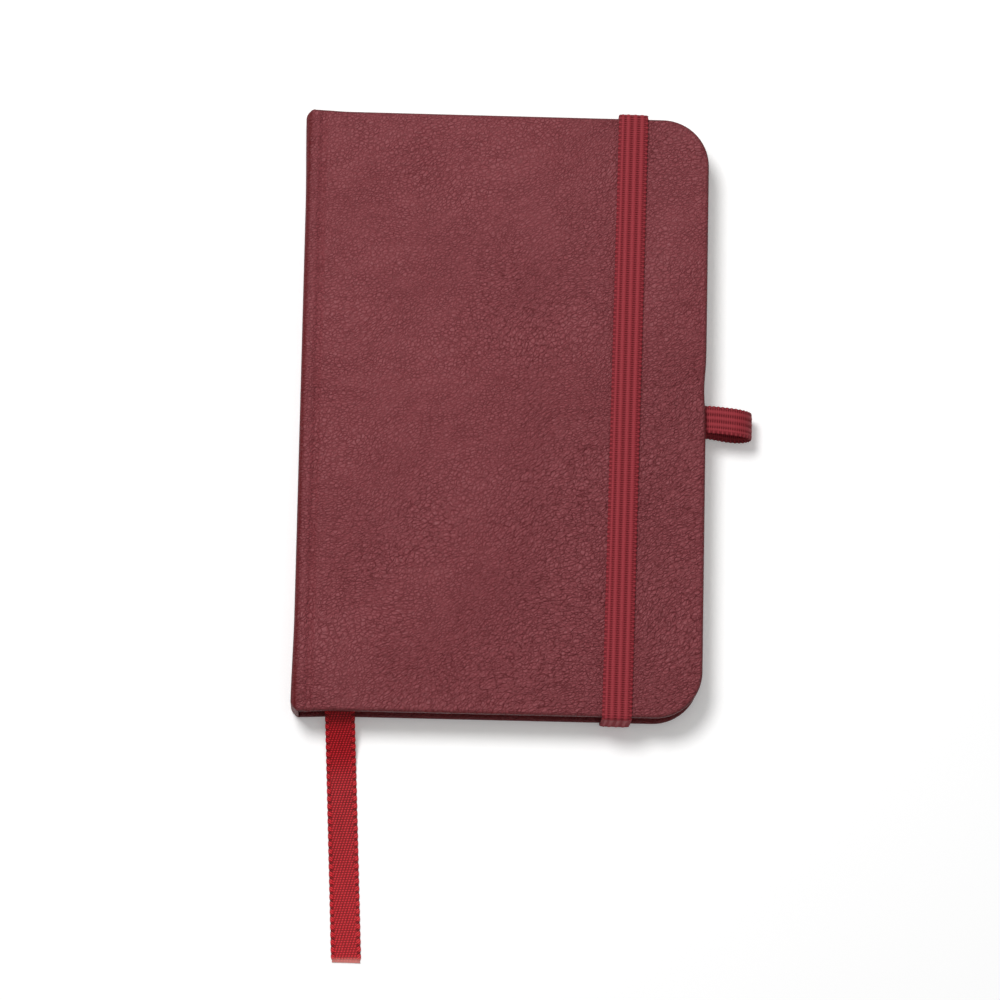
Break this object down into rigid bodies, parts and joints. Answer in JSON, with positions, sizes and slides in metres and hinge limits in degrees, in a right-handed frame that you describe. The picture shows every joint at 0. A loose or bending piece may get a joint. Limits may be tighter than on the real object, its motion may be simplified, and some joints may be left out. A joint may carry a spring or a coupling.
{
  "type": "pocket notebook",
  "caption": "Closed hardcover pocket notebook with an elastic closure band, a pen loop on the fore edge and a ribbon marker hanging from the tail.",
  "frame": {"origin": "middle of the back cover's outer face, which rests on the table", "axes": "+X from the spine to the fore edge, +Y from the tail to the head, +Z from the back cover to the front cover"},
  "size_m": [0.1064, 0.2003, 0.0139],
  "materials": {
    "cover_skin": "grained burgundy imitation leather, semi-matt",
    "grey_board": "raw grey board",
    "endpaper": "uncoated ivory paper",
    "page_paper": "uncoated ivory paper",
    "lining_cloth": "open-weave lining cloth",
    "thread": "twisted sewing thread",
    "ribbon": "woven satin ribbon with picot selvedges",
    "elastic": "flat ribbed knitted elastic"
  },
  "bodies": {
    "back_cover": {"back_board": "grey_board", "back_cover_skin": "cover_skin", "rear_joint_skin": "cover_skin", "back_pastedown": "endpaper", "rear_flyleaf": "endpaper", "signature_10": "page_paper", "signature_09": "page_paper", "signature_08": "page_paper", "signature_07": "page_paper", "signature_06": "page_paper", "rear_spine_lining": "lining_cloth", "rear_sewing_thread": "thread", "ribbon_inside": "ribbon", "ribbon_tail": "ribbon", "strap_end_head": "elastic", "strap_end_tail": "elastic", "pen_loop": "elastic"},
    "spine": {"spine_strip": "grey_board", "spine_skin": "cover_skin", "front_joint_skin": "cover_skin"},
    "front_cover": {"front_board": "grey_board", "front_cover_skin": "cover_skin", "front_pastedown": "endpaper"},
    "front_pages": {"signature_05": "page_paper", "signature_04": "page_paper", "signature_03": "page_paper", "signature_02": "page_paper", "signature_01": "page_paper", "front_flyleaf": "endpaper", "front_spine_lining": "lining_cloth", "front_sewing_thread": "thread"},
    "strap": {"elastic_strap": "elastic"}
  },
  "joints": [
    {"name": "cover_opening", "type": "hinge", "parent": "back_cover", "child": "spine", "pos_m": [-0.0463, 0, 0.0012], "axis": [0, -1, 0], "range_deg": [0, 90], "deforming": ["rear_joint_skin"]},
    {"name": "front_joint", "type": "hinge", "parent": "spine", "child": "front_cover", "pos_m": [-0.0463, 0, 0.0118], "axis": [0, -1, 0], "range_deg": [0, 90], "deforming": ["front_joint_skin"]},
    {"name": "page_opening", "type": "hinge", "parent": "back_cover", "child": "front_pages", "pos_m": [-0.0455, 0, 0.0065], "axis": [0, -1, 0], "range_deg": [0, 180]},
    {"name": "strap_release", "type": "slide", "parent": "back_cover", "child": "strap", "axis": [1, 0, 0], "range_m": [0, 0.028], "stiffness_N_per_m": 30, "deforming": ["elastic_strap"]}
  ],
  "couplings": [
    {"joint": "front_joint", "follows": "cover_opening", "ratio": 1},
    {"joint": "page_opening", "follows": "cover_opening", "ratio": 2}
  ]
}
